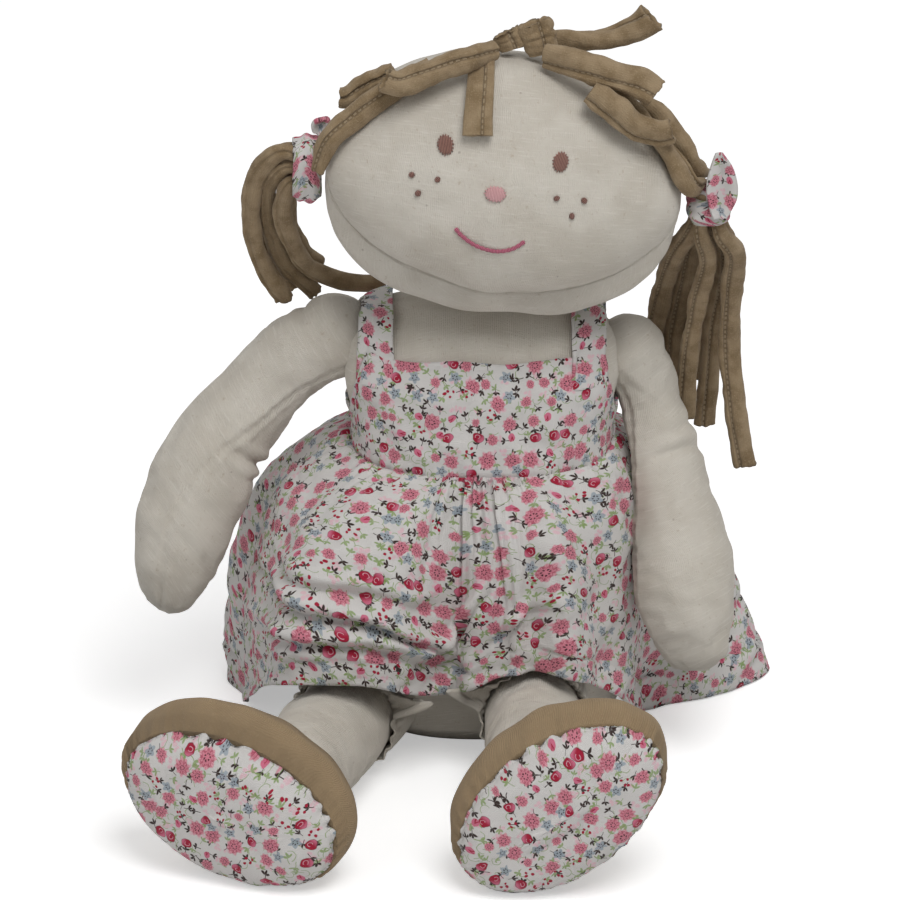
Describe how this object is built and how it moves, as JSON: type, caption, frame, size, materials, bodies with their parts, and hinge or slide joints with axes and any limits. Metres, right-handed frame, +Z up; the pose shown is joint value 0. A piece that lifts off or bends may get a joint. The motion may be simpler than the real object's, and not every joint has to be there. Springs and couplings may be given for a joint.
{
  "type": "rag doll",
  "caption": "Sitting stuffed cloth rag doll with jersey-tube bunches, a floral pinafore dress, knickers and padded feet; head, arms and legs move.",
  "frame": {"origin": "middle of the doll's flat seat, on the surface that it sits on", "axes": "+Z up; the doll faces -Y, and its own left is +X"},
  "size_m": [0.2566, 0.2636, 0.3077],
  "materials": {
    "skin_cloth": "matte slubbed cotton jersey",
    "stuffing": "loose polyester filling",
    "print_cloth": "matte woven cotton with a small flower print",
    "knickers_cloth": "matte thin cotton with a scalloped edge",
    "foot_cloth": "matte ribbed cotton",
    "hair_jersey": "matte rolled cotton jersey with a running stitch",
    "button": "satin"
  },
  "bodies": {
    "body": {"body_front": "skin_cloth", "body_back": "skin_cloth", "body_stuffing": "stuffing", "knickers_seat": "knickers_cloth", "bodice_front": "print_cloth", "bodice_back_left": "print_cloth", "bodice_back_right": "print_cloth", "strap_left": "print_cloth", "strap_right": "print_cloth", "skirt": "print_cloth", "back_button": "button"},
    "neck": {"neck": "skin_cloth"},
    "head": {"head_face": "skin_cloth", "head_back": "skin_cloth", "head_stuffing": "stuffing", "hair_fringe": "hair_jersey", "hair_lock_left_behind": "hair_jersey", "hair_lock_left_long": "hair_jersey", "hair_lock_left_short": "hair_jersey", "hair_lock_left_side": "hair_jersey", "hair_lock_right_behind": "hair_jersey", "hair_lock_right_short": "hair_jersey", "hair_lock_right_side": "hair_jersey", "hair_tuft_short": "hair_jersey", "hair_tuft_twisted": "hair_jersey", "hair_tuft_wide": "hair_jersey", "hair_strand_left_a": "hair_jersey", "hair_strand_left_b": "hair_jersey", "hair_strand_left_c": "hair_jersey", "hair_strand_left_d": "hair_jersey", "hair_strand_left_e": "hair_jersey", "hair_strand_left_f": "hair_jersey", "hair_strand_right_a": "hair_jersey", "hair_strand_right_b": "hair_jersey", "hair_strand_right_c": "hair_jersey", "hair_strand_right_d": "hair_jersey", "hair_strand_right_e": "hair_jersey", "tie_left_band": "print_cloth", "tie_left_loop": "print_cloth", "tie_right_band": "print_cloth", "tie_right_tab": "print_cloth"},
    "arm_right": {"arm_right_cover": "skin_cloth", "arm_right_stuffing": "stuffing"},
    "arm_left": {"arm_left_cover": "skin_cloth", "arm_left_stuffing": "stuffing"},
    "leg_right": {"leg_right_cover": "skin_cloth", "leg_right_stuffing": "stuffing", "foot_right_upper": "foot_cloth", "foot_right_sole": "print_cloth", "knickers_leg_right": "knickers_cloth"},
    "leg_left": {"leg_left_cover": "skin_cloth", "leg_left_stuffing": "stuffing", "foot_left_upper": "foot_cloth", "foot_left_sole": "print_cloth", "knickers_leg_left": "knickers_cloth"}
  },
  "joints": [
    {"name": "head_nod", "type": "hinge", "parent": "body", "child": "neck", "pos_m": [0, 0, 0.174], "axis": [1, 0, 0], "range_deg": [0, 12], "stiffness_Nm_per_rad": 0.3},
    {"name": "head_turn", "type": "hinge", "parent": "neck", "child": "head", "pos_m": [0, 0, 0.208], "axis": [0, 0, 1], "range_deg": [-35, 35], "stiffness_Nm_per_rad": 0.1, "deforming": ["hair_strand_left_a", "hair_strand_left_b", "hair_strand_left_c", "hair_strand_left_d", "hair_strand_left_e", "hair_strand_left_f", "hair_strand_right_a", "hair_strand_right_b", "hair_strand_right_c", "hair_strand_right_d", "hair_strand_right_e"]},
    {"name": "arm_swing_right", "type": "hinge", "parent": "body", "child": "arm_right", "pos_m": [-0.058, 0.003, 0.1635], "axis": [-1, 0, 0], "range_deg": [0, 85]},
    {"name": "arm_swing_left", "type": "hinge", "parent": "body", "child": "arm_left", "pos_m": [0.058, 0.003, 0.1565], "axis": [-1, 0, 0], "range_deg": [0, 85]},
    {"name": "leg_fold_right", "type": "hinge", "parent": "body", "child": "leg_right", "pos_m": [-0.044, -0.03, 0.0225], "axis": [1, 0, 0], "range_deg": [0, 80]},
    {"name": "leg_fold_left", "type": "hinge", "parent": "body", "child": "leg_left", "pos_m": [0.02, -0.03, 0.0225], "axis": [1, 0, 0], "range_deg": [0, 80]}
  ]
}
